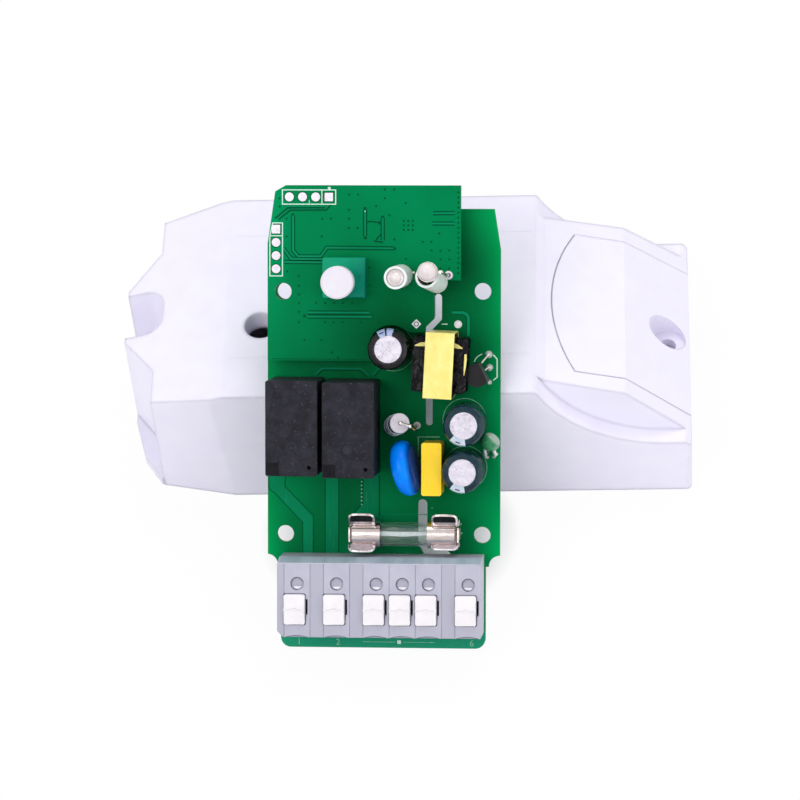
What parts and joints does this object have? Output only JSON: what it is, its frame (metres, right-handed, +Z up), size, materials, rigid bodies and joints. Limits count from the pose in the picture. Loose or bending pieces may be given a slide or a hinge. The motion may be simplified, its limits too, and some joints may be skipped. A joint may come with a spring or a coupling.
{
  "type": "smart relay module",
  "caption": "Twin-channel wireless relay: closed mains case with terminal cover, and its populated circuit board leaning on the case.",
  "frame": {"origin": "on the floor under the middle of the overall box", "axes": "+X along the case towards its terminal end, +Y from the leaning board towards the case, +Z up"},
  "size_m": [0.114, 0.0962, 0.0655],
  "materials": {
    "case_white": "satin white moulding",
    "board_green": "green solder mask",
    "black_plastic": "fine matt black",
    "grey_plastic": "satin grey moulding",
    "button_white": "satin white",
    "teal_plastic": "cloudy teal",
    "lamp_clear": "clear resin",
    "tinned_metal": "bright tin",
    "steel": "plain steel",
    "gold_pin": "gold flash",
    "aluminium": "pressed can",
    "dark_sleeve": "shrunk film",
    "black_sleeve": "shrunk film",
    "ferrite": "sintered",
    "tape_yellow": "film tape",
    "winding_dark": "taped winding",
    "blue_epoxy": "dipped",
    "yellow_box": "moulded box",
    "green_epoxy": "dipped",
    "glass": "clear tube"
  },
  "bodies": {
    "case_and_board": {"top_shell": "case_white", "base_plate": "case_white", "base_screws": "steel", "main_board": "board_green", "control_board": "board_green", "board_headers": "black_plastic", "header_pins": "gold_pin", "switch_guide": "teal_plastic", "tact_switch": "black_plastic", "lamp_tube_left": "button_white", "lamp_tube_right": "button_white", "lamp_left": "lamp_clear", "lamp_right": "lamp_clear", "wifi_chip": "black_plastic", "flash_chip": "black_plastic", "crystal": "tinned_metal", "relay_1": "black_plastic", "relay_2": "black_plastic", "output_capacitor_can": "aluminium", "output_capacitor_sleeve": "black_sleeve", "input_capacitor_1_can": "aluminium", "input_capacitor_1_sleeve": "dark_sleeve", "input_capacitor_2_can": "aluminium", "input_capacitor_2_sleeve": "dark_sleeve", "transformer_core": "ferrite", "transformer_bobbin": "black_plastic", "transformer_winding": "winding_dark", "transformer_tape": "tape_yellow", "rectifier_diode": "black_plastic", "varistor": "blue_epoxy", "film_capacitor": "yellow_box", "inrush_choke": "green_epoxy", "transistor": "black_plastic", "component_leads": "tinned_metal", "fuse_glass": "glass", "fuse_caps": "tinned_metal", "fuse_wire": "tinned_metal", "fuse_clips": "tinned_metal", "terminal_block": "grey_plastic", "clamp_springs": "steel", "contact_bars": "tinned_metal", "bridge_rectifier": "black_plastic", "power_controller": "black_plastic", "chip_parts": "black_plastic", "solder_joints": "tinned_metal"},
    "clamp_button_1": {"terminal_button_1": "button_white"},
    "clamp_button_2": {"terminal_button_2": "button_white"},
    "clamp_button_3": {"terminal_button_3": "button_white"},
    "clamp_button_4": {"terminal_button_4": "button_white"},
    "clamp_button_5": {"terminal_button_5": "button_white"},
    "clamp_button_6": {"terminal_button_6": "button_white"},
    "push_button": {"button_cap": "button_white"},
    "cover": {"terminal_cover": "case_white"}
  },
  "joints": [
    {"name": "clamp_button_1_push", "type": "slide", "parent": "case_and_board", "child": "clamp_button_1", "axis": [0.0171, 0.6519, -0.7581], "range_m": [0, 0.0015], "stiffness_N_per_m": 1200, "springref_m": -0.0008},
    {"name": "clamp_button_2_push", "type": "slide", "parent": "case_and_board", "child": "clamp_button_2", "axis": [0.0171, 0.6519, -0.7581], "range_m": [0, 0.0015], "stiffness_N_per_m": 1200, "springref_m": -0.0008},
    {"name": "clamp_button_3_push", "type": "slide", "parent": "case_and_board", "child": "clamp_button_3", "axis": [0.0171, 0.6519, -0.7581], "range_m": [0, 0.0015], "stiffness_N_per_m": 1200, "springref_m": -0.0008},
    {"name": "clamp_button_4_push", "type": "slide", "parent": "case_and_board", "child": "clamp_button_4", "axis": [0.0171, 0.6519, -0.7581], "range_m": [0, 0.0015], "stiffness_N_per_m": 1200, "springref_m": -0.0008},
    {"name": "clamp_button_5_push", "type": "slide", "parent": "case_and_board", "child": "clamp_button_5", "axis": [0.0171, 0.6519, -0.7581], "range_m": [0, 0.0015], "stiffness_N_per_m": 1200, "springref_m": -0.0008},
    {"name": "clamp_button_6_push", "type": "slide", "parent": "case_and_board", "child": "clamp_button_6", "axis": [0.0171, 0.6519, -0.7581], "range_m": [0, 0.0015], "stiffness_N_per_m": 1200, "springref_m": -0.0008},
    {"name": "push_button_press", "type": "slide", "parent": "case_and_board", "child": "push_button", "axis": [0.0171, 0.6519, -0.7581], "range_m": [0, 0.0005], "stiffness_N_per_m": 2500, "springref_m": -0.0005},
    {"name": "cover_lift", "type": "slide", "parent": "case_and_board", "child": "cover", "axis": [0, 0, 1], "range_m": [0, 0.025]}
  ]
}
